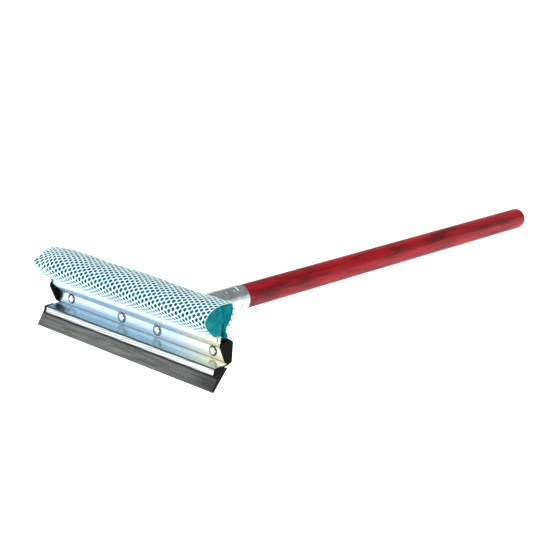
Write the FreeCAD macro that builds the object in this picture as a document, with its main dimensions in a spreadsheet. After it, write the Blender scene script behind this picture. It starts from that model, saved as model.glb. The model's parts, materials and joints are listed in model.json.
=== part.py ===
import FreeCAD, Part
import math
import os

import Sketcher

# Window cleaning squeegee, millimetres. A rubber blade and a netted sponge are clamped between two
# folded steel plates, which four rivets hold together and a rubber cap closes at each end; a steel
# socket riveted to the back plate carries a round wooden handle.
#
# The head is drawn square on: X along the blade, Y along the handle towards its free end, Z up, with
# the origin on the handle's axis at the front face of the plates. At the end every piece is turned
# by the same small angle, so that the blade's edge and the handle's free end both touch the table,
# and moved so that the origin is at the middle of the tool's underside.

SIZES = {
    # lengths along X
    "blade_length": 203.2,
    "plate_length": 194.0,
    "foam_length": 200.8,
    "net_length": 200.0,
    # front plate: reaches run forward from the web, rises and drops from its folds
    "plate_thickness": 0.8,
    "plate_gap": 0.1,
    "bend_radius": 0.6,
    "web_top": 6.5,
    "web_bottom": 3.7,
    "flange_reach": 9.9,
    "flange_rise": 7.6,
    "flange_bend": 7.0,
    "edge_rise": 6.9,
    "edge_return": 0.5,
    "channel_reach": 14.3,
    "channel_drop": 1.5,
    "lip_depth": 5.6,
    "lip_lean": 1.1,
    # back plate
    "back_web_foot": 2.1,
    "back_web_top": 13.6,
    "back_flange_reach": 4.8,
    "back_flange_rise": 3.6,
    "heel_gap": 0.3,
    "heel_start": 0.9,
    "heel_end": 7.6,
    # end caps: a wedge-shaped face outside the plates, and a plug between them
    "cap_thickness": 2.6,
    "cap_foot": 0.4,
    "cap_toe_reach": 2.6,
    "cap_toe_rise": 1.4,
    "cap_brow_reach": 9.8,
    "cap_brow_rise": 15.2,
    "cap_front_rise": 18.4,
    "cap_ridge_reach": 2.4,
    "cap_ridge_rise": 22.2,
    "cap_heel_rise": 1.5,
    "cap_edge_round": 0.5,
    "cap_corner_round": 1.2,
    "plug_length": 8.0,
    "plug_gap": 0.3,
    # rubber blade: its section hangs from the channel and leans forward to its edge
    "blade_gap": 0.25,
    "blade_cheek": 4.0,
    "blade_cheek_lean": 0.5,
    "blade_front_drop": 11.6,
    "blade_front_lean": 7.05,
    "blade_edge": 2.1,
    "blade_edge_drop": 0.9,
    "blade_back_drop": 17.1,
    "blade_back_lean": 14.6,
    "blade_edge_round": 0.8,
    "blade_top_round": 1.0,
    # sponge: the corners of its round head, from the middle of the throat that pinches it
    "throat_gap": 0.3,
    "chin_reach": 9.5,
    "chin_rise": 0.4,
    "jaw_reach": 15.8,
    "jaw_rise": 4.0,
    "cheek_reach": 22.7,
    "cheek_rise": 10.6,
    "nose_reach": 24.5,
    "nose_rise": 14.8,
    "brow_reach": 21.0,
    "brow_rise": 20.2,
    "crown_reach": 13.0,
    "crown_rise": 24.2,
    "top_reach": 2.6,
    "top_rise": 25.4,
    "shoulder_reach": 6.9,
    "shoulder_rise": 23.6,
    "back_reach": 8.8,
    "back_rise": 17.5,
    "loin_reach": 7.8,
    "loin_rise": 9.0,
    "nape_reach": 2.1,
    "nape_rise": 3.4,
    "foam_round": 4.5,
    "tail_thickness": 1.5,
    # net
    "net_gap": 0.2,
    "net_thickness": 0.7,
    # rivets
    "rivet_outer": 82.2,
    "rivet_inner": 20.6,
    "rivet_height": 2.4,
    "rivet_shank": 4.0,
    "rivet_clearance": 0.1,
    "rivet_head": 7.4,
    "rivet_head_height": 1.9,
    "rivet_tail": 6.6,
    "rivet_tail_height": 1.4,
    # socket and handle
    "handle_diameter": 22.2,
    "handle_length": 579.0,
    "handle_end_round": 8.0,
    "handle_start_chamfer": 1.0,
    "handle_start": 33.0,
    "handle_shoulder": 0.3,
    "tenon_gap": 0.3,
    "socket_fit": 0.1,
    "socket_wall": 1.1,
    "socket_mouth": 126.0,
    "neck_end": 31.0,
    "neck_width": 33.0,
    "neck_height": 16.0,
    "ear_length": 60.0,
    "ear_height": 16.0,
    "ear_round": 5.0,
    "groove_depth": 0.3,
    "groove_width": 1.4,
    "groove_place": 11.3,
    "dimple_diameter": 2.6,
    "dimple_depth": 0.5,
    "dimple_near": 15.8,
    "dimple_far": 25.8,
    "dimple_angle": 64.0,
}

doc = FreeCAD.newDocument("squeegee")
sheet = doc.addObject("Spreadsheet::Sheet", "Sizes")
for row, (alias, value) in enumerate(SIZES.items(), 1):
    sheet.set(f"A{row}", alias)
    sheet.set(f"B{row}", str(value))
    sheet.setAlias(f"B{row}", alias)
doc.recompute()


def named(expression):
    """The expression with each size's name pointed at the sheet."""
    words = []
    for word in expression.replace("(", "( ").replace(")", " )").split():
        bare = word.strip("()")
        words.append(f"Sizes.{word}" if bare in SIZES else word)
    return " ".join(words)


def value(expression):
    """What an expression of size names comes to now."""
    result = sheet.evalExpression(named(expression))
    return float(getattr(result, "Value", result))


# Places that several pieces share, all in the head's own Y and Z.
TAIL_FRONT = "plate_thickness + plate_gap"
BACK_FRONT = TAIL_FRONT + " + tail_thickness + plate_gap"
BACK_REAR = BACK_FRONT + " + plate_thickness"
EAR_FRONT = BACK_REAR + " + plate_gap"
EAR_BACK = EAR_FRONT + " + socket_wall"
FLANGE_Z = "web_top + flange_rise"
EDGE_Y = "edge_return - flange_reach"
EDGE_Z = FLANGE_Z + " + edge_rise"
BACK_FLANGE_Z = "back_web_top + back_flange_rise"
THROAT_FRONT = EDGE_Y + " + plate_thickness + throat_gap"
THROAT_REAR = BACK_FRONT + " - back_flange_reach - throat_gap"
HOLLOW_Z = "web_top + 2 * plate_thickness"
CAP_FOOT_Z = "0 - web_bottom - cap_foot"
CAP_REAR = BACK_REAR + " + plate_gap"
BLADE_FRONT_Y = "blade_gap + plate_thickness - channel_reach"
BLADE_TOP_Z = "0 - web_bottom - channel_drop - plate_thickness - plate_gap"
BLADE_EDGE_Y = BLADE_FRONT_Y + " - blade_cheek_lean - blade_front_lean"
BLADE_EDGE_Z = BLADE_TOP_Z + " - blade_cheek - blade_front_drop"
BLADE_HEEL_Y = BLADE_EDGE_Y + " + blade_edge"
BLADE_HEEL_Z = BLADE_EDGE_Z + " - blade_edge_drop"
BLADE_BACK_Y = BLADE_HEEL_Y + " + blade_back_lean"
BLADE_BACK_Z = BLADE_HEEL_Z + " + blade_back_drop"
BLADE_BACK_SLOPE = "( blade_back_lean / blade_back_drop )"
HANDLE_END = "handle_start + handle_length"
TENON_RADIUS = "( handle_diameter / 2 - handle_shoulder )"
SOCKET_BORE = f"{TENON_RADIUS} + socket_fit"
SOCKET_OUTSIDE = SOCKET_BORE + " + socket_wall"


def new_body(label):
    body = doc.addObject("PartDesign::Body", label)
    body.Label = label
    return body


def plane(body, role):
    """One of the body's own origin planes."""
    return next(f for f in body.Origin.OriginFeatures if f.Role == role)


def new_sketch(body, name, role="YZ_Plane"):
    """A sketch on an origin plane: YZ looks along the blade, XZ looks along the handle."""
    sketch = body.newObject("Sketcher::SketchObject", f"{body.Label}_{name}")
    sketch.AttachmentSupport = [(plane(body, role), "")]
    sketch.MapMode = "FlatFace"
    return sketch


def bind(sketch, kind, *where, to):
    """A dimension in a sketch that follows an expression."""
    index = sketch.addConstraint(Sketcher.Constraint(kind, *where, value(to)))
    sketch.setExpression(f"Constraints[{index}]", named(to))


def bind_point(sketch, line, end, y, z):
    bind(sketch, "DistanceX", -1, 1, line, end, to=y)
    bind(sketch, "DistanceY", -1, 1, line, end, to=z)


def vector(y, z):
    return FreeCAD.Vector(y, z, 0)


def place_of(point):
    return vector(value(point[0]), value(point[1]))


def add_lines(sketch, places, construction=False):
    """Joined straight lines through the places."""
    lines = [sketch.addGeometry(Part.LineSegment(a, b), construction) for a, b in zip(places, places[1:])]
    for a, b in zip(lines, lines[1:]):
        sketch.addConstraint(Sketcher.Constraint("Coincident", a, 2, b, 1))
    return lines


def outline(sketch, points):
    """A closed outline with every corner bound to the sheet."""
    places = [place_of(p) for p in points]
    lines = add_lines(sketch, places + places[:1])
    sketch.addConstraint(Sketcher.Constraint("Coincident", lines[-1], 2, lines[0], 1))
    for line, (y, z) in zip(lines, points):
        bind_point(sketch, line, 1, y, z)


def mitred(places, distance):
    """The places moved sideways, to the right of the way they run, by the distance."""
    moved = []
    for i, here in enumerate(places):
        sides = []
        for a, b in ((i - 1, i), (i, i + 1)):
            if 0 <= a and b < len(places):
                run = (places[b] - places[a]).normalize()
                sides.append(vector(run.y, -run.x))
        side = sum(sides, vector(0, 0)).normalize()
        moved.append(here + side * (distance / side.dot(sides[0])))
    return moved


def beside(sketch, lines, places, distance):
    """A copy of the lines, parallel to them at a bound distance."""
    copy = add_lines(sketch, mitred(places, value(distance)))
    for line, other in zip(lines, copy):
        sketch.addConstraint(Sketcher.Constraint("Parallel", line, other))
        bind(sketch, "Distance", other, 1, line, to=distance)
    return copy


def sheet_outline(sketch, path, near, far):
    """The section of a folded sheet that follows the path, between two distances to its right."""
    places = [place_of(p) for p in path]
    on_path = near == "0"
    guide = add_lines(sketch, places, construction=not on_path)
    for line, (y, z) in zip(guide, path):
        bind_point(sketch, line, 1, y, z)
    bind_point(sketch, guide[-1], 2, *path[-1])
    inner = guide if on_path else beside(sketch, guide, places, near)
    outer = beside(sketch, guide, places, far)
    for line, end in ((0, 1), (-1, 2)):
        tip = [sketch.getPoint(side[line], end) for side in (inner, outer)]
        cap = sketch.addGeometry(Part.LineSegment(*tip), False)
        sketch.addConstraint(Sketcher.Constraint("Coincident", cap, 1, inner[line], end))
        sketch.addConstraint(Sketcher.Constraint("Coincident", cap, 2, outer[line], end))
        sketch.addConstraint(Sketcher.Constraint("Perpendicular", cap, guide[line]))
        if not on_path:
            sketch.addConstraint(Sketcher.Constraint("PointOnObject", guide[line], end, cap))


def pad_along_x(body, sketch, length):
    pad = body.newObject("PartDesign::Pad", f"{body.Label}_pad")
    pad.Profile = sketch
    pad.SideType = "Symmetric"
    pad.setExpression("Length", named(length))
    doc.recompute()
    return pad


def round_edges(body, places, radius):
    """Rounds the edges along X that pass through the given places of the section."""
    base = body.Tip
    found = []
    for number, edge in enumerate(base.Shape.Edges, 1):
        ends = [v.Point for v in edge.Vertexes]
        if len(ends) == 2 and abs(ends[0].x - ends[1].x) > 1:
            for place in places:
                if all(math.hypot(p.y - place.x, p.z - place.y) < 1e-3 for p in ends):
                    found.append(f"Edge{number}")
    if len(found) != len(places):
        raise RuntimeError(f"{body.Label}: {len(found)} edges found for {len(places)} places")
    fillet = body.newObject("PartDesign::Fillet", f"{body.Label}_round")
    fillet.Base = (base, found)
    fillet.setExpression("Radius", named(radius))
    doc.recompute()


def fold(body, path, near, far, bends):
    """Rounds each bend of a folded sheet; bends gives the inside radius at each inner point of the path."""
    places = [place_of(p) for p in path]
    sides = [mitred(places, value(d)) for d in (near, far)]
    for i, radius in enumerate(bends, 1):
        before, after = places[i] - places[i - 1], places[i + 1] - places[i]
        turns_right = before.x * after.y - before.y * after.x < 0
        inside, outside = (1, 0) if turns_right else (0, 1)
        round_edges(body, [sides[inside][i]], radius)
        round_edges(body, [sides[outside][i]], f"{radius} + ( {far} ) - ( {near} )")


def cut_along_y(body, sketch, name):
    """Cuts the sketch's outline right through the body, both ways along Y."""
    before = body.Shape.Volume
    pocket = body.newObject("PartDesign::Pocket", f"{body.Label}_{name}")
    pocket.Profile = sketch
    pocket.Type = "ThroughAll"
    pocket.SideType = "Symmetric"
    doc.recompute()
    if not body.Shape.Volume < before - 1:
        raise RuntimeError(f"{body.Label}: {name} cut nothing")


def circle(sketch, x, z, diameter):
    centre = place_of((x, z))
    ring = Part.Circle(centre, FreeCAD.Vector(0, 0, 1), value(diameter) / 2)
    number = sketch.addGeometry(ring, False)
    bind_point(sketch, number, 3, x, z)
    bind(sketch, "Diameter", number, to=diameter)


def rivet_holes(body, places):
    sketch = new_sketch(body, "holes_sketch", "XZ_Plane")
    for x in places:
        circle(sketch, x, "rivet_height", "rivet_shank + 2 * rivet_clearance")
    cut_along_y(body, sketch, "holes")


def revolve_about_y(body, sketch):
    turned = body.newObject("PartDesign::Revolution", f"{body.Label}_turned")
    turned.Profile = sketch
    turned.ReferenceAxis = (sketch, ["H_Axis"])
    turned.Angle = 360
    doc.recompute()
    return turned


ALL_RIVETS = ["0 - rivet_outer", "0 - rivet_inner", "rivet_inner", "rivet_outer"]
INNER_RIVETS = ALL_RIVETS[1:3]


def front_plate():
    """One folded sheet: lip, channel, web, upper flange and its turned-back edge, from the lip up."""
    body = new_body("front_plate")
    path = [
        ("0 - channel_reach - lip_lean", "0 - web_bottom - channel_drop - lip_depth"),
        ("0 - channel_reach", "0 - web_bottom - channel_drop"),
        ("0", "0 - web_bottom"),
        ("0", "web_top"),
        ("0 - flange_reach", FLANGE_Z),
        (EDGE_Y, EDGE_Z),
    ]
    sketch = new_sketch(body, "section")
    sheet_outline(sketch, path, "0", "plate_thickness")
    pad_along_x(body, sketch, "plate_length")
    bends = ["bend_radius", "bend_radius", "bend_radius", "flange_bend"]
    fold(body, path, "0", "plate_thickness", bends)
    rivet_holes(body, ALL_RIVETS)
    return body


def back_plate():
    """The matching sheet behind: its flange pinches the sponge, its heel holds the blade's back."""
    body = new_body("back_plate")
    heel = [
        (f"{BLADE_BACK_Y} + heel_gap - {drop} * {BLADE_BACK_SLOPE}", f"{BLADE_BACK_Z} - {drop}")
        for drop in ("heel_end", "heel_start")
    ]
    path = heel + [
        (BACK_FRONT, "0 - web_bottom - back_web_foot"),
        (BACK_FRONT, "back_web_top"),
        (BACK_FRONT + " - back_flange_reach", "back_web_top + back_flange_rise"),
    ]
    sketch = new_sketch(body, "section")
    sheet_outline(sketch, path, "0", "plate_thickness")
    pad_along_x(body, sketch, "plate_length")
    fold(body, path, "0", "plate_thickness", ["bend_radius"] * 3)
    rivet_holes(body, ALL_RIVETS)
    return body


def hollow_section(gap, foot, top):
    """The space between the plates, from its foot between the webs to its top under the flanges."""
    front, rear = f"plate_thickness + {gap}", f"{BACK_FRONT} - {gap}"
    bend = f"( {HOLLOW_Z} + {gap} )"
    return [
        (front, foot),
        (front, bend),
        (f"{front} - ( {top} - {bend} ) * flange_reach / flange_rise", top),
        (f"{rear} - back_flange_reach + {gap}", BACK_FLANGE_Z + f" - 2 * {gap}"),
        (rear, f"back_web_top - {gap}"),
        (rear, foot),
    ]


def end_cap(label, side):
    """A black rubber cap on one end of the plates: a wedge-shaped face with a plug behind it."""
    body = new_body(label)
    outwards = side > 0
    cap_points = [
        ("0 - cap_foot", CAP_FOOT_Z),
        ("0 - cap_toe_reach", CAP_FOOT_Z + " + cap_toe_rise"),
        ("0 - cap_brow_reach", CAP_FOOT_Z + " + cap_brow_rise"),
        ("0 - cap_brow_reach", CAP_FOOT_Z + " + cap_front_rise"),
        ("0 - cap_ridge_reach", CAP_FOOT_Z + " + cap_ridge_rise"),
        (CAP_REAR, "back_web_top + plate_thickness"),
        (CAP_REAR, CAP_FOOT_Z + " + cap_heel_rise"),
    ]
    inner = "plate_length / 2 + plate_gap"
    plug_points = hollow_section("plug_gap", "0 - web_bottom", FLANGE_Z + " - plug_gap")
    for name, points, length, reverse in (("face", cap_points, "cap_thickness", not outwards),
                                          ("plug", plug_points, "plug_length", outwards)):
        sketch = new_sketch(body, name)
        sketch.setExpression("AttachmentOffset.Base.z", named(f"{side} * ( {inner} )"))
        doc.recompute()
        outline(sketch, points)
        pad = body.newObject("PartDesign::Pad", f"{label}_{name}")
        pad.Profile = sketch
        pad.Reversed = reverse
        pad.setExpression("Length", named(length))
        doc.recompute()
        if name == "face":
            round_edges(body, [place_of(point) for point in points], "cap_corner_round")
    face_x = side * value(f"{inner} + cap_thickness")
    base = body.Tip
    rim_edges = [f"Edge{number}" for number, edge in enumerate(base.Shape.Edges, 1)
                 if all(abs(v.X - face_x) < 1e-3 for v in edge.Vertexes)]
    fillet = body.newObject("PartDesign::Fillet", f"{label}_rim")
    fillet.Base = (base, rim_edges)
    fillet.setExpression("Radius", named("cap_edge_round"))
    doc.recompute()
    return body


def rubber_blade():
    """The wiping blade: a wedge of rubber that fills the channel and narrows to its edge."""
    body = new_body("rubber_blade")
    points = [
        (BLADE_FRONT_Y, BLADE_TOP_Z),
        (BLADE_FRONT_Y + " - blade_cheek_lean", BLADE_TOP_Z + " - blade_cheek"),
        (BLADE_EDGE_Y, BLADE_EDGE_Z),
        (BLADE_HEEL_Y, BLADE_HEEL_Z),
        (BLADE_BACK_Y, BLADE_BACK_Z),
    ]
    sketch = new_sketch(body, "section")
    outline(sketch, points)
    pad_along_x(body, sketch, "blade_length")
    round_edges(body, [place_of(points[i]) for i in (2, 3)], "blade_edge_round")
    round_edges(body, [place_of(points[0])], "blade_top_round")
    return body


def throat(reach, rise):
    """A corner of the sponge's head, from the middle of the throat."""
    return f"( {THROAT_FRONT} + {THROAT_REAR} ) / 2 + {reach}", f"{EDGE_Z} + {rise}"


# The sponge's head from its nape, over the top and round to its chin.
HEAD_CORNERS = [
    throat("nape_reach", "nape_rise"),
    throat("loin_reach", "loin_rise"),
    throat("back_reach", "back_rise"),
    throat("shoulder_reach", "shoulder_rise"),
    throat("0 - top_reach", "top_rise"),
    throat("0 - crown_reach", "crown_rise"),
    throat("0 - brow_reach", "brow_rise"),
    throat("0 - nose_reach", "nose_rise"),
    throat("0 - cheek_reach", "cheek_rise"),
    throat("0 - jaw_reach", "jaw_rise"),
    throat("0 - chin_reach", "chin_rise"),
]


def sponge_foam():
    """The foam: a full round head, and a tail between the plates that the rivets run through."""
    body = new_body("sponge_foam")
    neck_z = BACK_FLANGE_Z + " + plate_thickness + 2 * throat_gap"
    neck = [(THROAT_FRONT, EDGE_Z + " + 2 * throat_gap"), (THROAT_FRONT, neck_z), (THROAT_REAR, neck_z)]
    head = new_sketch(body, "head")
    outline(head, HEAD_CORNERS + neck)
    pad_along_x(body, head, "foam_length")
    round_edges(body, [place_of(corner) for corner in HEAD_CORNERS[1:]], "foam_round")
    tail = new_sketch(body, "tail")
    hollow = hollow_section("plug_gap", "0 - web_bottom", FLANGE_Z + " + plug_gap")
    outline(tail, hollow[:3] + [
        (THROAT_FRONT, FLANGE_Z + " + 5 * throat_gap"),
        (THROAT_FRONT, EDGE_Z),
        (THROAT_REAR, EDGE_Z),
    ] + hollow[3:])
    pad = body.newObject("PartDesign::Pad", "sponge_foam_tail")
    pad.Profile = tail
    pad.SideType = "Symmetric"
    pad.setExpression("Length", named("plate_length - 2 * ( plug_length + plug_gap )"))
    doc.recompute()
    rivet_holes(body, ALL_RIVETS)
    return body


def net_cover():
    """The knitted net, here a plain skin that follows the sponge's head from nape to chin."""
    body = new_body("net_cover")
    path = HEAD_CORNERS + [(EDGE_Y + " - net_thickness - net_gap", EDGE_Z + " + throat_gap")]
    far = "net_gap + net_thickness"
    sketch = new_sketch(body, "section")
    sheet_outline(sketch, path, "net_gap", far)
    pad_along_x(body, sketch, "net_length")
    fold(body, path, "net_gap", far, ["foam_round + net_gap"] * (len(path) - 2))
    return body


def dome(sketch, tip, rim):
    """A domed rivet end: an arc, centred on the axis, between its tip and its rim."""
    a, b = place_of(tip), place_of(rim)
    reach = b.x - a.x
    centre = a.x + (reach * reach + b.y * b.y) / (2 * reach)
    angles = sorted((math.atan2(0, a.x - centre), math.atan2(b.y, b.x - centre)))
    ring = Part.Circle(vector(centre, 0), FreeCAD.Vector(0, 0, 1), abs(centre - a.x))
    arc = sketch.addGeometry(Part.ArcOfCircle(ring, *angles), False)
    sketch.addConstraint(Sketcher.Constraint("PointOnObject", arc, 3, -1))
    tip_end = 1 if a.x > centre else 2
    return arc, tip_end, 3 - tip_end


def rivet(label, x, grip):
    """A solid rivet: a domed head in front of the web and a smaller formed head behind its grip."""
    body = new_body(label)
    sketch = new_sketch(body, "profile")
    head, tail = ("0 - rivet_head_height", "0"), (grip + " + rivet_tail_height", "0")
    shank = [
        ("0", "rivet_head / 2"),
        ("0", "rivet_shank / 2"),
        (grip, "rivet_shank / 2"),
        (grip, "rivet_tail / 2"),
    ]
    lines = add_lines(sketch, [place_of(point) for point in shank])
    for line, (y, z) in zip(lines, shank):
        bind_point(sketch, line, 1, y, z)
    bind_point(sketch, lines[-1], 2, *shank[-1])
    axis = sketch.addGeometry(Part.LineSegment(place_of(head), place_of(tail)), False)
    for end, tip, rim, line in ((1, head, shank[0], lines[0]), (2, tail, shank[-1], lines[-1])):
        arc, tip_end, rim_end = dome(sketch, tip, rim)
        sketch.addConstraint(Sketcher.Constraint("Coincident", arc, tip_end, axis, end))
        sketch.addConstraint(Sketcher.Constraint("Coincident", arc, rim_end, line, end))
        bind_point(sketch, axis, end, *tip)
    revolve_about_y(body, sketch)
    body.Placement.Base = FreeCAD.Vector(value(x), 0, value("rivet_height"))
    return body


def cross_section(body, name, y):
    """A sketch square to the handle's axis, at a bound distance along it."""
    sketch = new_sketch(body, name, "XZ_Plane")
    sketch.setExpression("AttachmentOffset.Base.z", named(f"0 - ( {y} )"))
    doc.recompute()
    return sketch


def oval(body, name, y, width, height):
    sketch = cross_section(body, name, y)
    long_end, short_end = vector(value(width) / 2, 0), vector(0, value(height) / 2)
    ring = sketch.addGeometry(Part.Ellipse(long_end, short_end, vector(0, 0)), False)
    sketch.exposeInternalGeometry(ring)
    long_axis, short_axis = ring + 1, ring + 2
    sketch.addConstraint(Sketcher.Constraint("Coincident", ring, 3, -1, 1))
    sketch.addConstraint(Sketcher.Constraint("Horizontal", long_axis))
    bind(sketch, "Distance", long_axis, to=width)
    bind(sketch, "Distance", short_axis, to=height)
    return sketch


def round_section(body, name, y, diameter):
    sketch = cross_section(body, name, y)
    circle(sketch, "0", "0", diameter)
    return sketch


def loft(body, kind, name, start, end):
    made = body.newObject(f"PartDesign::{kind}", f"{body.Label}_{name}")
    made.Profile = start
    made.Sections = [end]
    doc.recompute()


def tube_profile(body, sketch_name, near, far, inside, outside):
    """A rectangle above the axis, to be turned into a ring."""
    sketch = new_sketch(body, sketch_name)
    outline(sketch, [(near, inside), (near, outside), (far, outside), (far, inside)])
    return sketch


def rim(shape, y, radius):
    """The name of the circular edge at a place along the axis."""
    for number, edge in enumerate(shape.Edges, 1):
        curve = edge.Curve
        if isinstance(curve, Part.Circle) and abs(curve.Radius - radius) < 1e-3:
            if abs(curve.Center.y - y) < 1e-3:
                return f"Edge{number}"
    raise RuntimeError(f"no rim of radius {radius} at {y}")


def handle_socket():
    """Steel socket: a tube squeezed to an oval neck, with a pair of ears riveted to the back plate."""
    body = new_body("handle_socket")
    outside, bore = f"2 * ( {SOCKET_OUTSIDE} )", f"2 * ( {SOCKET_BORE} )"
    ears = cross_section(body, "ears_sketch", EAR_FRONT)
    half, top = "ear_length / 2", "ear_height / 2 + rivet_height"
    low, slope = "rivet_height - ear_height / 2", "ear_round"
    outline(ears, [
        (f"0 - {half}", low + f" + {slope}"),
        (f"0 - {half} + {slope}", low),
        (f"{half} - {slope}", low),
        (half, low + f" + {slope}"),
        (half, top + f" - {slope}"),
        (f"{half} - {slope}", top),
        (f"0 - {half} + {slope}", top),
        (f"0 - {half}", top + f" - {slope}"),
    ])
    plate = body.newObject("PartDesign::Pad", "handle_socket_ears")
    plate.Profile = ears
    plate.Reversed = True
    plate.setExpression("Length", named("socket_wall"))
    doc.recompute()
    loft(body, "AdditiveLoft", "neck", oval(body, "neck_oval", EAR_FRONT, "neck_width", "neck_height"),
         round_section(body, "neck_round", "neck_end", outside))
    loft(body, "SubtractiveLoft", "neck_hollow",
         oval(body, "hollow_oval", EAR_BACK, "neck_width - 2 * socket_wall", "neck_height - 2 * socket_wall"),
         round_section(body, "hollow_round", "neck_end", bore))
    revolve_about_y(body, tube_profile(body, "tube", "neck_end", "socket_mouth", SOCKET_BORE, SOCKET_OUTSIDE))
    crimp_y = "socket_mouth - groove_place"
    crimp = tube_profile(body, "crimp", crimp_y, crimp_y + " + groove_width",
                         SOCKET_OUTSIDE + " - groove_depth", SOCKET_OUTSIDE + " + 1")
    groove = body.newObject("PartDesign::Groove", "handle_socket_crimp")
    groove.Profile = crimp
    groove.ReferenceAxis = (crimp, ["H_Axis"])
    groove.Angle = 360
    doc.recompute()
    lift = value(SOCKET_OUTSIDE + " + dimple_diameter / 2 - dimple_depth")
    for number, back in enumerate(("dimple_near", "dimple_far"), 1):
        pit = body.newObject("PartDesign::SubtractiveSphere", f"handle_socket_dimple_{number}")
        pit.setExpression("Radius", named("dimple_diameter / 2"))
        angle = math.radians(value("dimple_angle"))
        y = value(f"socket_mouth - {back}")
        pit.Placement.Base = FreeCAD.Vector(lift * math.cos(angle), y, lift * math.sin(angle))
        doc.recompute()
    rivet_holes(body, INNER_RIVETS)
    return body


def wood_handle():
    """A turned rod: a tenon inside the socket, a shoulder at its mouth and a rounded free end."""
    body = new_body("wood_handle")
    tenon, rod = TENON_RADIUS, "handle_diameter / 2"
    shoulder = "socket_mouth + tenon_gap"
    sketch = new_sketch(body, "rod")
    outline(sketch, [("handle_start", "0"), ("handle_start", tenon), (shoulder, tenon),
                     (shoulder, rod), (HANDLE_END, rod), (HANDLE_END, "0")])
    revolve_about_y(body, sketch)
    ends = (("Fillet", "Radius", HANDLE_END, rod, "handle_end_round"),
            ("Chamfer", "Size", "handle_start", tenon, "handle_start_chamfer"))
    for kind, size, y, radius, amount in ends:
        base = body.Tip
        made = body.newObject(f"PartDesign::{kind}", f"wood_handle_{kind.lower()}")
        made.Base = (base, [rim(base.Shape, value(y), value(radius))])
        made.setExpression(size, named(amount))
        doc.recompute()
    return body


bodies = [
    front_plate(),
    back_plate(),
    end_cap("end_cap_left", -1),
    end_cap("end_cap_right", 1),
    rubber_blade(),
    sponge_foam(),
    net_cover(),
    rivet("rivet_outer_left", ALL_RIVETS[0], BACK_REAR),
    rivet("rivet_inner_left", ALL_RIVETS[1], EAR_BACK),
    rivet("rivet_inner_right", ALL_RIVETS[2], EAR_BACK),
    rivet("rivet_outer_right", ALL_RIVETS[3], BACK_REAR),
    handle_socket(),
    wood_handle(),
]
doc.recompute()


def rest_turn():
    """The turn about X that brings the blade's edge and the handle's rounded end to one level."""
    edge = doc.getObject("rubber_blade").Shape.BoundBox
    handle_z = -value("handle_diameter / 2")
    handle_y = value(f"{HANDLE_END} - handle_end_round")
    edge_y = value(f"{BLADE_HEEL_Y} - blade_edge / 2")
    return FreeCAD.Rotation(FreeCAD.Vector(1, 0, 0), -math.degrees(
        math.atan2(handle_z - edge.ZMin, handle_y - edge_y)))


# Stand the tool on the table, its origin under the middle of its box.
turn = FreeCAD.Placement(FreeCAD.Vector(), rest_turn())
for body in bodies:
    body.Placement = turn.multiply(body.Placement)
whole = FreeCAD.BoundBox()
for body in bodies:
    whole.add(body.Shape.optimalBoundingBox(False))
middle = FreeCAD.Vector((whole.XMin + whole.XMax) / 2, (whole.YMin + whole.YMax) / 2, whole.ZMin)
for body in bodies:
    body.Placement.Base -= middle
doc.recompute()

for thing in doc.Objects:
    if "Invalid" in thing.State or "Error" in thing.State:
        raise RuntimeError(f"{thing.Name} failed: {thing.State}")
for body in bodies:
    if body.Shape.isNull() or not body.Shape.isValid() or len(body.Shape.Solids) != 1:
        raise RuntimeError(f"{body.Label} is not one sound solid")

os.makedirs("parts", exist_ok=True)
for body in bodies:
    body.Shape.exportStep(f"parts/{body.Label}.step")
    print(f"{body.Label}: {body.Shape.Volume:.0f} cubic mm")
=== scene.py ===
import json
from bisect import bisect
from math import cos, exp, pi, radians, sin

import bmesh
import bpy
from mathutils import Color, Matrix, Vector


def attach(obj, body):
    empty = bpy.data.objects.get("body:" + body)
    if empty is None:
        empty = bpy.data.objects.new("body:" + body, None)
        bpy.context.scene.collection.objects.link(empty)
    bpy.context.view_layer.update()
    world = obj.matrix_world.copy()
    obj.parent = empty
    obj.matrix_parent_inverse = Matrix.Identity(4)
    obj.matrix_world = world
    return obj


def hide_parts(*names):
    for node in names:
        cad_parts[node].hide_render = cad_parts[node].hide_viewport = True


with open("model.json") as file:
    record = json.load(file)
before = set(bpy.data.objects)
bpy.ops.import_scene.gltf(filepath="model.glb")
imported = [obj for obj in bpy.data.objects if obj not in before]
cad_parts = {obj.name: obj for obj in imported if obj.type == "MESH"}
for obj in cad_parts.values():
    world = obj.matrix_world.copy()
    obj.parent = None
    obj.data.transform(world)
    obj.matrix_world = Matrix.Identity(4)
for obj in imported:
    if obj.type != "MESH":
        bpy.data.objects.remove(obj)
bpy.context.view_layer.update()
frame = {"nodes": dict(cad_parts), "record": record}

# ---------------------------------------------------------------- the tool's own axes
# The tool lies on a table on its blade's edge and its handle's end, so its own axes lean a little
# against the table's. head() takes a place in the head's axes, in millimetres, to the table's frame:
# X along the blade, Y along the handle, Z up, from the handle's axis at the front of the plates.
grip = frame["record"]["mounts"][0]
handle_axis = Vector(grip["axis"]).normalized()
MM = 0.001
GRIP_FROM_PLATES = 0.36515
origin = Vector(grip["pos_m"]) - GRIP_FROM_PLATES * handle_axis
lean = Vector((0, 1, 0)).rotation_difference(handle_axis).to_matrix().to_4x4()
to_table = Matrix.Translation(origin) @ lean


def head(x, y, z):
    return to_table @ (Vector((x, y, z)) * MM)


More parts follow.
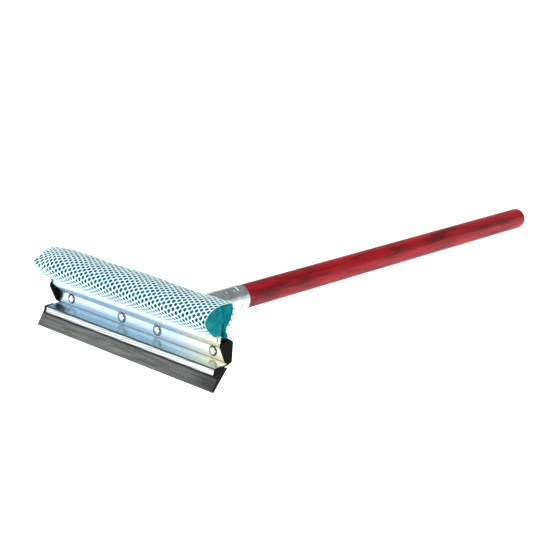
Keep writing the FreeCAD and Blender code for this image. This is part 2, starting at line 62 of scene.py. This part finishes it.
# ---------------------------------------------------------------- camera
# A long lens from the front right of the head, a little above it, tipped a few degrees sideways.
AZIMUTH, ELEVATION, ROLL = radians(38.5), radians(16.98), radians(4.40)
right = Vector((cos(AZIMUTH), sin(AZIMUTH), 0))
back = Vector((sin(AZIMUTH) * cos(ELEVATION), -cos(AZIMUTH) * cos(ELEVATION), sin(ELEVATION)))
up = back.cross(right)
lens_right = cos(ROLL) * right + sin(ROLL) * up
lens_up = cos(ROLL) * up - sin(ROLL) * right
camera = bpy.data.objects.new("camera", bpy.data.cameras.new("camera"))
camera.data.sensor_width = 36
camera.data.lens = 89.94
camera.data.clip_start = 0.05
turn = Matrix((lens_right, lens_up, back)).transposed().to_4x4()
camera.matrix_world = to_table @ Matrix.Translation(Vector((764.9, -780.8, 381.1)) * MM) @ turn
bpy.context.scene.collection.objects.link(camera)
bpy.context.scene.camera = camera


# ---------------------------------------------------------------- floor and light
# A plain white floor that glows, so that shadows fade on it, under a wide soft sun. The sky is pale low
# down and greyer higher up, so that bright metal has something to mirror besides white.
FLOOR_SIZE = 40
FLOOR_GREY = 0.7
FLOOR_GLOW = 1.0
bpy.context.scene.view_settings.view_transform = "Standard"


class Field:
    """A value that varies over a surface. Arithmetic on it adds Math nodes to its finish."""

    def __init__(self, finish, socket):
        self.finish, self.socket = finish, socket

    def math(self, operation, *terms):
        return self.finish.node("Math", {"operation": operation}, dict(enumerate(terms)))

    def __add__(self, other):
        return self.math("ADD", self, other)

    def __radd__(self, other):
        return self.math("ADD", other, self)

    def __sub__(self, other):
        return self.math("SUBTRACT", self, other)

    def __rsub__(self, other):
        return self.math("SUBTRACT", other, self)

    def __mul__(self, other):
        return self.math("MULTIPLY", self, other)

    def __rmul__(self, other):
        return self.math("MULTIPLY", other, self)

    def __truediv__(self, other):
        return self.math("DIVIDE", self, other)

    def __pow__(self, other):
        return self.math("POWER", self, other)

    def sine(self):
        return self.math("SINE", self)

    def size(self):
        return self.math("ABSOLUTE", self)


class Finish:
    """A material around one Principled shader."""

    def __init__(self, name, **fixed):
        self.material = bpy.data.materials.new(name)
        self.material.use_nodes = True
        self.tree = self.material.node_tree
        self.shader = self.tree.nodes["Principled BSDF"]
        self.surface(**fixed)

    def plug(self, socket, value):
        if isinstance(value, Field):
            self.tree.links.new(value.socket, socket)
        elif socket.type == "RGBA":
            socket.default_value = (*value, 1)
        else:
            socket.default_value = value

    def node(self, kind, settings, inputs, output=0):
        made = self.tree.nodes.new("ShaderNode" + kind)
        for name, setting in settings.items():
            setattr(made, name, setting)
        for name, value in inputs.items():
            self.plug(made.inputs[name], value)
        return Field(self, made.outputs[output])

    def surface(self, **values):
        """Sets or links the shader's sockets; base_color is Base Color, and so on."""
        for name, value in values.items():
            self.plug(self.shader.inputs[name.replace("_", " ").title().replace("Ior", "IOR")], value)

    def head_place(self):
        """The place on the surface in the head's own axes, in millimetres."""
        here = self.node("TexCoord", {}, {}, "Object")
        return self.node("Mapping", {"vector_type": "TEXTURE"}, {
            "Vector": here, "Location": origin, "Rotation": lean.to_euler(), "Scale": (MM, MM, MM)})

    def axes(self, place):
        return [self.node("SeparateXYZ", {}, {"Vector": place}, axis) for axis in "XYZ"]

    def stretched(self, place, x, y, z):
        return self.node("VectorMath", {"operation": "MULTIPLY"}, {0: place, 1: (x, y, z)})

    def noise(self, place, size, detail=2.0, roughness=0.5):
        """Soft noise from 0 to 1, with blotches about size millimetres apart."""
        return self.node("TexNoise", {}, {
            "Vector": place, "Scale": 1 / size, "Detail": detail, "Roughness": roughness}, "Fac")

    def rise(self, value, low, high):
        """0 below low and 1 above high, smoothly between; low may be the larger."""
        return self.node("MapRange", {"interpolation_type": "SMOOTHSTEP"}, {
            "Value": value, "From Min": low, "From Max": high})

    def mix(self, one, other, share):
        return self.node("Mix", {"data_type": "RGBA"}, {0: share, 6: one, 7: other}, 2)

    def relief(self, height, depth):
        """Bumps of the given depth in millimetres where height goes from 0 to 1."""
        bump = self.node("Bump", {}, {"Height": height, "Distance": depth * MM, "Strength": 1.0})
        self.surface(normal=bump)


def srgb(red, green, blue):
    """A colour as paint makers give it, 0 to 255, in linear light."""
    return tuple(Color((red / 255, green / 255, blue / 255)).from_srgb_to_scene_linear())


def show(name, mesh):
    """A new object for the mesh, in the scene."""
    piece = bpy.data.objects.new(name, mesh)
    bpy.context.scene.collection.objects.link(piece)
    return piece


def paint(piece, finish):
    piece.data.materials.clear()
    piece.data.materials.append(finish.material)


bm = bmesh.new()
bmesh.ops.create_grid(bm, x_segments=1, y_segments=1, size=FLOOR_SIZE / 2)
floor_mesh = bpy.data.meshes.new("floor")
bm.to_mesh(floor_mesh)
bm.free()
floor = show("floor", floor_mesh)
white_floor = Finish("white_floor", roughness=0.9, specular_ior_level=0.1, emission_strength=FLOOR_GLOW,
                     emission_color=(1.0, 1.0, 1.0))
grain = white_floor.noise(white_floor.node("TexCoord", {}, {}, "Object"), 0.4)
white_floor.surface(base_color=white_floor.mix((FLOOR_GREY,) * 3, (FLOOR_GREY + 0.02,) * 3, grain))
paint(floor, white_floor)

world = bpy.data.worlds.new("studio")
bpy.context.scene.world = world
world.use_nodes = True
sky = world.node_tree
direction = sky.nodes.new("ShaderNodeTexCoord").outputs["Generated"]
split = sky.nodes.new("ShaderNodeSeparateXYZ")
sky.links.new(direction, split.inputs["Vector"])
ramp = sky.nodes.new("ShaderNodeValToRGB")
sky.links.new(split.outputs["Z"], ramp.inputs["Fac"])
sky.links.new(ramp.outputs["Color"], sky.nodes["Background"].inputs["Color"])
sky.nodes["Background"].inputs["Strength"].default_value = 1.0
SKY = [(0.0, 1.0), (0.22, 0.95), (0.42, 0.32), (0.75, 0.36), (1.0, 0.9)]
for place, grey in SKY[2:]:
    ramp.color_ramp.elements.new(place)
for stop, (place, grey) in zip(ramp.color_ramp.elements, SKY):
    stop.position = place
    stop.color = (grey, grey, grey, 1)

sun = bpy.data.lights.new("soft_sun", "SUN")
sun.energy = 2.4
sun.angle = radians(50)
sun_lamp = bpy.data.objects.new("soft_sun", sun)
sun_lamp.matrix_world = Matrix.Rotation(radians(-30), 4, "Z") @ Matrix.Rotation(radians(38), 4, "X")
bpy.context.scene.collection.objects.link(sun_lamp)


# ---------------------------------------------------------------- plates
# Two folded sheets of bright zinc-plated steel. The plating's clear passivation shows pale blue on the
# left and the middle and drifts to yellow-green on the right, with a pale bloom beside the web's foot.
# The folds are dull and darkened by painted shade, as are the lip's foot, a ring round each rivet and
# the channel's hollow, which is painted a deeper blue. The lip keeps slanting die lines.
WEB_TOP, WEB_FOOT, CHANNEL_FRONT, LIP_TOP, LIP_FOOT = 6.5, -3.7, -14.3, -5.2, -10.8
LIP_SLANT, LIP_PITCH = -0.065, 1.9
LIP_GREY, LIP_WHITE = srgb(214, 219, 222), srgb(240, 241, 241)
RIVET_SHADE_RINGS, RIVET_HEIGHT = ((82.2, 3.9), (20.6, 4.4)), 2.4
ZINC_WHITE, ZINC_BLUE, ZINC_CHANNEL_SHADE = srgb(206, 221, 229), srgb(180, 207, 228), srgb(162, 202, 218)
ZINC_CREAM, ZINC_CHANNEL_SHADE_WARM, ZINC_DIE_LINE_AND_SHADE = srgb(236, 232, 212), srgb(196, 220, 208), srgb(48, 52, 56)

zinc = Finish("zinc_plate")
place = zinc.head_place()
x, y, z = zinc.axes(place)
drift = zinc.noise(zinc.stretched(place, 0.4, 1, 1), 26)
band = zinc.noise(zinc.stretched(place, 0.06, 1, 1), 6, detail=1.0)
warmth = zinc.rise(x + 50 * (drift - 0.5), 25, 100)
pale = zinc.mix(ZINC_WHITE, ZINC_CREAM, warmth)
deep = zinc.mix(ZINC_BLUE, ZINC_CREAM, warmth)
tint = zinc.mix(pale, deep, zinc.rise(band + 0.2 * (drift - 0.5), 0.38, 0.62))
in_channel = zinc.rise(z, WEB_FOOT, WEB_FOOT - 0.5) * zinc.rise(z, LIP_TOP - 0.2, LIP_TOP + 0.2)
# Painted shade: the hollow of the channel is tinted a deeper blue.
painted_channel_shade = in_channel * zinc.rise(y, -13.6, -12.0) * zinc.rise(y, -4.8, -7.5)
tint = zinc.mix(tint, zinc.mix(ZINC_CHANNEL_SHADE, ZINC_CHANNEL_SHADE_WARM, warmth), 0.85 * painted_channel_shade)
on_lip = zinc.rise(y, CHANNEL_FRONT + 0.4, CHANNEL_FRONT) * zinc.rise(z, LIP_TOP + 0.3, LIP_TOP - 0.2)
tint = zinc.mix(tint, zinc.mix(LIP_GREY, LIP_WHITE, warmth), 0.9 * on_lip)
die_line = on_lip * zinc.rise(((z + LIP_SLANT * x) * (2 * pi / LIP_PITCH)).sine(), 0.45, 0.95)
# Painted shade: dark lines along the folds and along the lip's foot.
painted_fold_shade = 0.0
for line_y, line_z, width, shade_and_dullness in ((0.0, WEB_TOP, 0.8, 0.5),
                                        (0.0, WEB_FOOT, 0.8, 0.7),
                                        (CHANNEL_FRONT, LIP_TOP, 1.4, 1.1),
                                        (CHANNEL_FRONT - 1.1, LIP_FOOT, 1.0, 1.0)):
    painted_fold_shade = painted_fold_shade + shade_and_dullness * zinc.rise((y - line_y) ** 2 + (z - line_z) ** 2, width ** 2, 0.1 * width)
# Painted shade: a dark ring on the plate round each rivet.
painted_rivet_shade = 0.0
for rivet_x, ring_radius in RIVET_SHADE_RINGS:
    from_rivet = ((x.size() - rivet_x) ** 2 + (z - RIVET_HEIGHT) ** 2) ** 0.5
    painted_rivet_shade = painted_rivet_shade + zinc.rise((from_rivet - ring_radius).size(), 0.65, 0.25) * zinc.rise(z, -3, -2)
grain = zinc.noise(zinc.stretched(place, 0.03, 1, 1), 0.35, detail=3.0)
bloom = zinc.rise(z, 0.5, WEB_FOOT + 0.5) * zinc.rise(z, WEB_FOOT - 1.4, WEB_FOOT - 1.2)
bloom = bloom * zinc.rise(y, -5.5, -3.5)
dulled = 0.2 * painted_fold_shade + 0.2 * zinc.rise(z, WEB_TOP - 1.5, 8)
zinc.surface(
    metallic=1 - 0.45 * bloom,
    base_color=zinc.mix(tint, ZINC_DIE_LINE_AND_SHADE, 0.6 * die_line + 0.85 * painted_fold_shade + 0.95 * painted_rivet_shade),
    roughness=0.22 + 0.1 * zinc.noise(place, 9) + 0.06 * grain + dulled)
zinc.relief(1 - die_line, 0.06)
for name in ("front_plate", "back_plate"):
    paint(frame["nodes"][name], zinc)


# ---------------------------------------------------------------- rubber blade
# An extruded wedge of black rubber held by the plates' channel. Its front is greyed and faintly
# streaked along its length from handling, darker toward both ends and blacker along the wiping edge.
# Painted shade blackens the cut ends, and a painted shadow darkens the rubber just under the lip.
RUBBER_GREY, RUBBER_PALE, RUBBER_BLACK = srgb(80, 82, 80), srgb(110, 112, 109), srgb(14, 14, 14)
BLADE_HALF, BLADE_TIP, UNDER_LIP = 101.6, -22.2, -11.6

rubber = Finish("blade_rubber", specular_ior_level=0.1)
place = rubber.head_place()
x, y, z = rubber.axes(place)
streak = rubber.noise(rubber.stretched(place, 0.08, 1, 1), 2.2, detail=4.0)
dust = rubber.noise(place, 1.4, detail=5.0, roughness=0.7)
worn = rubber.mix(RUBBER_GREY, RUBBER_PALE, rubber.rise(0.6 * streak + 0.4 * dust, 0.38, 0.62))
# Painted shade blackens the cut ends.
painted_end_shade = rubber.rise(x.size(), BLADE_HALF - 0.5, BLADE_HALF - 0.1)
edge = rubber.rise(z, BLADE_TIP + 1.4, BLADE_TIP + 0.3)
# Painted shadow on the rubber just under the lip.
painted_lip_shadow = rubber.rise(z, UNDER_LIP - 1.0, UNDER_LIP)
darker_toward_ends = 0.6 * rubber.rise(x, 60, 101) + 0.25 * rubber.rise(x, -70, -101)
grey_share = (1 - 0.9 * painted_end_shade) * (1 - 0.8 * edge) * (1 - 0.9 * painted_lip_shadow) * (1 - darker_toward_ends)
rubber.surface(
    base_color=rubber.mix(RUBBER_BLACK, worn, grey_share),
    roughness=0.6 + 0.2 * dust)
rubber.relief(0.6 * streak + 0.4 * dust, 0.10)
paint(frame["nodes"]["rubber_blade"], rubber)


# ---------------------------------------------------------------- end caps
# Moulded plugs of matt black rubber, pressed into the open ends of the plates. Their skin is faintly
# mottled.
CAP_BLACK, CAP_WORN = srgb(7, 7, 8), srgb(26, 27, 27)

cap_rubber = Finish("cap_rubber", specular_ior_level=0.06)
place = cap_rubber.head_place()
skin = cap_rubber.noise(place, 0.9, detail=4.0, roughness=0.65)
cap_rubber.surface(
    base_color=cap_rubber.mix(CAP_BLACK, CAP_WORN, cap_rubber.rise(skin, 0.45, 0.72)),
    roughness=0.55 + 0.25 * skin)
cap_rubber.relief(skin, 0.08)
for name in ("end_cap_left", "end_cap_right"):
    paint(frame["nodes"][name], cap_rubber)


# ---------------------------------------------------------------- sponge foam
# A strip of open-cell teal foam folded double, its fold pinched between the plates so that it swells
# into a round head above them. The fold shows as a crease in both cut ends. Painted shade darkens the
# crease, the pores and the skin under the net.
FOAM_LEFT, FOAM_RIGHT = -101.2, 99.4
NAPE, CHIN = (-3.0, 21.4), (-10.2, 21.3)
SPONGE = [(-5.6, 25.4), (-1.4, 29.0), (1.5, 34.5), (2.9, 41.5), (0.8, 46.4), (-9.0, 47.0), (-17.5, 46.7),
          (-26.0, 43.6), (-31.4, 37.6), (-29.4, 32.0), (-23.9, 26.7), (-17.6, 21.5)]
NECK = [(-8.1, 21.4), (-8.0, 15.0), (-5.5, 14.2), (-3.2, 16.0), (-2.7, 20.6)]
FOAM_VOXEL = 1.7
CREASE_FOOT, CREASE_TOP, CREASE_DEPTH, CREASE_WIDTH = (-7.4, 19.5), (-10.3, 33.5), 4.5, 1.2
TAIL_TOP, TAIL_FLARE = 21.0, 3.0
NOSE_FROM, NOSE_RUN, NOSE_HEIGHT, NOSE_DROP, CHEEK_PINCH = -72, 28, 36.5, 2.2, 5.0
TEAL, TEAL_SHADE = srgb(8, 120, 130), srgb(0, 84, 92)
TEAL_LIGHT, TEAL_CREASE_SHADE = srgb(52, 172, 178), srgb(2, 26, 32)


def smooth_path(corners):
    """The points of a spline that rounds off the corners, each (y, z), in the plane across the blade."""
    curve = bpy.data.curves.new("path", "CURVE")
    curve.dimensions = "3D"
    spline = curve.splines.new("NURBS")
    spline.points.add(len(corners) - 1)
    for point, (y, z) in zip(spline.points, corners):
        point.co = (0, y, z, 1)
    spline.order_u = 3
    spline.use_endpoint_u = True
    spline.resolution_u = 6
    mesh = bpy.data.meshes.new_from_object(bpy.data.objects.new("path", curve))
    return [Vector((v.co.y, v.co.z)) for v in mesh.vertices]


def swell(x, y, z):
    """Where the sponge's unevenness, and the nose at its left end, take a point of it or of its net."""
    height = min(max((z - 22) / 20, 0), 1)
    left = min(max((NOSE_FROM - x) / NOSE_RUN, 0), 1) ** 1.5
    front = min(max((-14 - y) / 12, 0), 1)
    y += height * (0.35 * sin(0.083 * x + 0.6) + 0.2 * sin(0.19 * x))
    z += height * (0.3 * sin(0.06 * x + 1.1) + 0.15 * sin(0.23 * x + 2))
    z -= height * left * (NOSE_DROP + 1.2 * front)
    y += left * front * (1.6 * height + CHEEK_PINCH * min(abs(z - NOSE_HEIGHT) / 6, 1))
    return x, y, z


def crease(x, y, z):
    """Draws the cut ends in along the fold, and crowns them elsewhere."""
    inward = 1 if x < 0 else -1
    end = FOAM_LEFT if x < 0 else FOAM_RIGHT
    near = max(1 - abs(x - end) / 14, 0) ** 2
    foot, run = Vector(CREASE_FOOT), Vector(CREASE_TOP) - Vector(CREASE_FOOT)
    share = (Vector((y, z)) - foot).dot(run) / run.length_squared
    aside = (Vector((y, z)) - foot - share * run).length
    fade = min(max(1.15 - share, 0), 1)
    depth = CREASE_DEPTH * fade * exp(-(aside / CREASE_WIDTH) ** 2)
    tail = min(max((abs(x) - 97.2) / 1.2, 0), 1) * min(max((TAIL_TOP + 1.5 - z) / 2, 0), 1)
    y += tail * (-TAIL_FLARE if y < CREASE_FOOT[0] + 1.5 else 1.5)
    crown = 0.8 * exp(-((y + 14) ** 2 + (z - 34) ** 2) / 200) - 0.8
    return x + inward * near * (depth - crown), y, z


def shaped(piece, *moves):
    """Moves every point of the piece's mesh, given in head millimetres, and puts it in its place."""
    for v in piece.data.vertices:
        place = tuple(v.co)
        for move in moves:
            place = move(*place)
        v.co = head(*place)


def modifiers_applied(piece):
    view = bpy.context.evaluated_depsgraph_get()
    mesh = bpy.data.meshes.new_from_object(piece.evaluated_get(view))
    piece.modifiers.clear()
    piece.data = mesh


sponge_line = smooth_path([NAPE] + SPONGE + [CHIN])
bm = bmesh.new()
section = bm.faces.new([bm.verts.new((FOAM_LEFT, *p)) for p in [*sponge_line, *map(Vector, NECK)]])
extruded = bmesh.ops.extrude_face_region(bm, geom=[section])["geom"]
bmesh.ops.translate(bm, verts=[v for v in extruded if isinstance(v, bmesh.types.BMVert)],
                    vec=(FOAM_RIGHT - FOAM_LEFT, 0, 0))
bmesh.ops.recalc_face_normals(bm, faces=bm.faces)
foam_mesh = bpy.data.meshes.new("sponge")
bm.to_mesh(foam_mesh)
bm.free()
sponge = show("sponge", foam_mesh)
remesh = sponge.modifiers.new("even_faces", "REMESH")
remesh.mode = "VOXEL"
remesh.voxel_size = FOAM_VOXEL
remesh.use_smooth_shade = True
softened = sponge.modifiers.new("softened", "SMOOTH")
softened.factor = 0.5
softened.iterations = 5
modifiers_applied(sponge)
shaped(sponge, swell, crease)

foam = Finish("teal_foam", roughness=0.95, specular_ior_level=0.03)
place = foam.head_place()
pores = foam.node("TexVoronoi", {"feature": "F1"}, {"Vector": place, "Scale": 1.1}, "Distance")
fine = foam.node("TexVoronoi", {"feature": "F1"}, {"Vector": place, "Scale": 2.6}, "Distance")
cloud = foam.noise(place, 5, detail=4.0)
cells = foam.rise(pores, 0.15, 0.62) * 0.6 + foam.rise(fine, 0.1, 0.6) * 0.4
x, y, z = foam.axes(place)
lobe = foam.rise(y + 0.5 * (z - 34) + 8 * (cloud - 0.5), -6, -26)
open_end = foam.rise((x - (FOAM_LEFT + FOAM_RIGHT) / 2).size(), 97.5, 99.5)
body = foam.mix(TEAL, TEAL_LIGHT, foam.rise(cloud, 0.42, 0.7) * 0.55 + 0.2 * lobe)
# Painted shade: the skin under the net is darker than the open ends.
body = foam.mix(TEAL_SHADE, body, 0.25 + 0.75 * open_end)
foot, run = Vector(CREASE_FOOT), Vector(CREASE_TOP) - Vector(CREASE_FOOT)
aside = ((y - foot.x) * run.y - (z - foot.y) * run.x).size() / run.length
# Painted shade in the crease of each cut end.
painted_crease_shade = open_end * foam.rise(aside, 1.9, 0.3) * foam.rise(z, CREASE_TOP[1] + 1, CREASE_FOOT[1] + 5)
body = foam.mix(body, TEAL_CREASE_SHADE, 0.85 * painted_crease_shade)
# Painted shade in the pores.
foam.surface(base_color=foam.mix(TEAL_SHADE, body, foam.rise(cells, 0.12, 0.5)))
foam.relief(cells, 0.5)
paint(sponge, foam)
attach(sponge, "root")
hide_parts("sponge_foam")


# ---------------------------------------------------------------- net
# White knitted nylon net, stretched over the sponge from the front plate's edge to a little short of
# the back plate's. Its openings stand in staggered columns, and its cut ends are melted into a border.
NET_LEFT, NET_RIGHT = -101.3, 99.5
COLUMN, ROW = 3.62, 4.3
STRAND_INSET, NET_THICK, NET_LIFT, BORDER = 0.49, 0.6, 0.5, 0.5
NET_WHITE, NET_SHADE = srgb(234, 252, 254), srgb(182, 224, 231)

around = [0.0]
for a, b in zip(sponge_line, sponge_line[1:]):
    around.append(around[-1] + (b - a).length)


def wrapped(u, v, lift):
    """The place u along the blade and v round the sponge, lifted off its skin."""
    i = min(max(bisect(around, v) - 1, 0), len(around) - 2)
    a, b = sponge_line[i], sponge_line[i + 1]
    run = (b - a) / (around[i + 1] - around[i])
    spot = a + run * (v - around[i]) + Vector((run.y, -run.x)) * lift
    return u, spot.x, spot.y


def repeated(bm, step, count):
    """Copies everything in the mesh count times, each a step further on."""
    first = bm.verts[:] + bm.edges[:] + bm.faces[:]
    bmesh.ops.spin(bm, geom=first, angle=0, steps=count, dvec=step, use_duplicate=True)


bm = bmesh.new()
for u, v in ((0, 0), (COLUMN, ROW / 2)):
    ring = bmesh.ops.create_circle(bm, segments=6, radius=COLUMN / 1.5, cap_ends=True)["verts"]
    bmesh.ops.rotate(bm, verts=ring, matrix=Matrix.Rotation(pi / 2, 3, "Z"))
    bmesh.ops.scale(bm, verts=ring, vec=(1, ROW / (COLUMN / 1.5 * 3 ** 0.5), 1))
    bmesh.ops.translate(bm, verts=ring, vec=(u, v, 0))
repeated(bm, (2 * COLUMN, 0, 0), int((NET_RIGHT - NET_LEFT) / (2 * COLUMN)) + 2)
repeated(bm, (0, ROW, 0), int(around[-1] / ROW) + 1)
bmesh.ops.translate(bm, verts=bm.verts, vec=(NET_LEFT - COLUMN, -ROW / 2, 0))
bmesh.ops.remove_doubles(bm, verts=bm.verts, dist=0.02)
cells = bm.faces[:]
bmesh.ops.inset_individual(bm, faces=cells, thickness=STRAND_INSET, use_even_offset=True)
bmesh.ops.delete(bm, geom=cells, context="FACES")
for normal, place in (((-1, 0, 0), (NET_LEFT, 0, 0)), ((1, 0, 0), (NET_RIGHT, 0, 0)),
                      ((0, -1, 0), (0, 0, 0)), ((0, 1, 0), (0, around[-1], 0))):
    bmesh.ops.bisect_plane(bm, geom=bm.verts[:] + bm.edges[:] + bm.faces[:], dist=0.01,
                           plane_co=place, plane_no=normal, clear_outer=True)
for u in (NET_LEFT + BORDER / 2, NET_RIGHT - BORDER / 2):
    rim = bmesh.ops.create_grid(bm, x_segments=1, y_segments=60, size=0.5)["verts"]
    bmesh.ops.scale(bm, verts=rim, vec=(BORDER, around[-1], 1))
    bmesh.ops.translate(bm, verts=rim, vec=(u, around[-1] / 2, 0))
flat_area = sum(face.calc_area() for face in bm.faces)
net_mesh = bpy.data.meshes.new("net")
bm.to_mesh(net_mesh)
bm.free()
net = show("net", net_mesh)
for v in net.data.vertices:
    v.co = wrapped(v.co.x, v.co.y, NET_LIFT)
shaped(net, swell)
net.data.polygons.foreach_set("use_smooth", [True] * len(net.data.polygons))
strands = net.modifiers.new("strands", "SOLIDIFY")
strands.thickness = NET_THICK * MM
strands.offset = 0
rounding = net.modifiers.new("rounding", "SUBSURF")
rounding.levels = rounding.render_levels = 1

nylon = Finish("white_net", roughness=0.6, specular_ior_level=0.35, sheen_weight=0.3, sheen_roughness=0.4)
place = nylon.head_place()
knit = nylon.node("TexVoronoi", {"feature": "F1"}, {"Vector": place, "Scale": 2.2}, "Distance")
fuzz = nylon.noise(place, 0.35, detail=3.0)
nylon.surface(base_color=nylon.mix(NET_WHITE, NET_SHADE, nylon.rise(0.7 * knit + 0.3 * fuzz, 0.3, 0.75)))
nylon.relief(knit + 0.5 * fuzz, 0.12)
paint(net, nylon)
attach(net, "root")
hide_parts("net_cover")
flat_area * MM * MM


# ---------------------------------------------------------------- rivets
# Four plated steel rivets through the plates; the inner two also hold the socket's ears. Their heads
# are bright on top, with a painted shadow as a dark ring round their rims.
RIVET_BRIGHT, RIVET_SCUFF_AND_SHADOW = srgb(232, 232, 228), srgb(36, 36, 35)
RIM_SHADOW_FROM, RIM_SHADOW_TO = -1.0, -0.3

rivet_steel = Finish("rivet_steel", metallic=1.0)
place = rivet_steel.head_place()
y = rivet_steel.axes(place)[1]
# Painted shadow: the rim of each head, beside the plate, is darkened.
ring = rivet_steel.rise(y, RIM_SHADOW_FROM, RIM_SHADOW_TO) * rivet_steel.rise(y, 0.6, 0.3)
scuff = rivet_steel.noise(place, 0.8, detail=4.0)
rivet_steel.surface(
    base_color=rivet_steel.mix(RIVET_BRIGHT, RIVET_SCUFF_AND_SHADOW, 0.9 * ring + 0.12 * scuff),
    roughness=0.14 + 0.22 * scuff)
rivet_steel.relief(scuff, 0.05)
for name in ("rivet_outer_left", "rivet_inner_left", "rivet_inner_right", "rivet_outer_right"):
    paint(frame["nodes"][name], rivet_steel)


# ---------------------------------------------------------------- handle socket
# A zinc-plated tube squeezed flat at its foot, crimped and staked onto the handle. Squeezing left its
# wall faintly dented, so that it mirrors light in ragged patches.
SOCKET_LIGHT, SOCKET_DARK = srgb(216, 224, 225), srgb(182, 193, 194)

socket_steel = Finish("socket_steel", metallic=1.0)
place = socket_steel.head_place()
dents = socket_steel.noise(socket_steel.stretched(place, 1, 0.6, 1), 5, detail=1.5)
grain = socket_steel.noise(socket_steel.stretched(place, 1, 0.15, 1), 0.6, detail=3.0)
tarnish = socket_steel.rise(0.6 * dents + 0.4 * grain, 0.4, 0.7)
socket_steel.surface(
    base_color=socket_steel.mix(SOCKET_LIGHT, SOCKET_DARK, tarnish),
    roughness=0.12 + 0.12 * grain)
socket_steel.relief(dents + 0.01 * grain, 0.3)
paint(frame["nodes"]["handle_socket"], socket_steel)


# ---------------------------------------------------------------- handle
# A turned hardwood rod, stained deep red and thinly varnished. The stain lies darker in the grain and in
# long blotches, and painted shade darkens the wood where it meets the socket's mouth.
SOCKET_MOUTH = 126.3
STAIN_RED, STAIN_DEEP, STAIN_DARK_AND_MOUTH_SHADE = srgb(170, 8, 28), srgb(122, 4, 18), srgb(66, 2, 10)

stain = Finish("red_wood", coat_weight=0.12, coat_roughness=0.2, specular_ior_level=0.1)
place = stain.head_place()
y = stain.axes(place)[1]
fibre = stain.noise(stain.stretched(place, 1, 0.03, 1), 1.6, detail=5.0, roughness=0.6)
blotch = stain.noise(stain.stretched(place, 1, 0.14, 1), 7, detail=3.0)
pore = stain.noise(stain.stretched(place, 1, 0.08, 1), 0.5, detail=2.0)
red = stain.mix(STAIN_RED, STAIN_DEEP, stain.rise(0.5 * fibre + 0.5 * blotch, 0.38, 0.62))
streaks = 0.55 * stain.rise(blotch + 0.5 * fibre, 0.74, 0.96) + 0.3 * stain.rise(pore, 0.58, 0.75)
# Painted shade where the wood meets the socket's mouth.
painted_mouth_shade = 0.9 * stain.rise(y, SOCKET_MOUTH + 0.9, SOCKET_MOUTH)
stain.surface(
    base_color=stain.mix(red, STAIN_DARK_AND_MOUTH_SHADE, streaks + painted_mouth_shade),
    roughness=0.34 + 0.2 * fibre)
stain.relief(fibre - 0.5 * stain.rise(pore, 0.6, 0.75), 0.12)
paint(frame["nodes"]["wood_handle"], stain)
